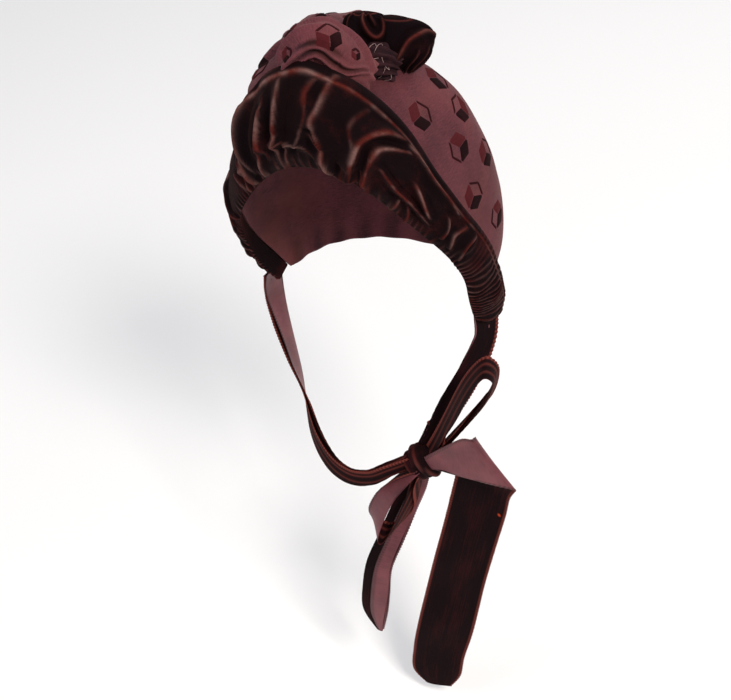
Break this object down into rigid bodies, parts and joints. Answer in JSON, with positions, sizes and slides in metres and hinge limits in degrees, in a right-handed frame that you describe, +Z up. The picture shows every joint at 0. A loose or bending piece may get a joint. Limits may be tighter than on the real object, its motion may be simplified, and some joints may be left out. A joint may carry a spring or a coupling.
{
  "type": "ruched velvet bonnet with ribbon ties",
  "caption": "Close-fitting bonnet with a turned-up ruched velvet brim, puffs and standing loops on its crown, and velvet ribbon ties in a side bow.",
  "frame": {"origin": "the seat: the highest point inside the crown, on the wearer's middle plane, where the bonnet rests on the head", "axes": "+Z up as worn, +X to the wearer's left, +Y to the back of the head; the face looks out towards -Y"},
  "size_m": [0.2113, 0.1584, 0.5467],
  "materials": {
    "velvet": "matt pile, dark wine red",
    "crepe": "dull ribbed crepe, mauve brown, with velvet cube figures",
    "ribbon": "velvet face and satin back, dark wine red"
  },
  "bodies": {
    "root": {"crown": "crepe", "brim": "velvet", "large_puff": "crepe", "small_puff": "crepe", "velvet_loop_front": "velvet", "velvet_loop_rear": "velvet", "velvet_swag": "velvet", "lower_fold": "velvet", "gather_centre": "crepe", "bow_knot": "ribbon", "tie_left": "ribbon", "tie_right": "ribbon", "bow_loop_upper": "ribbon", "bow_loop_lower": "ribbon", "tail_narrow": "ribbon", "tail_wide": "ribbon"}
  },
  "joints": []
}
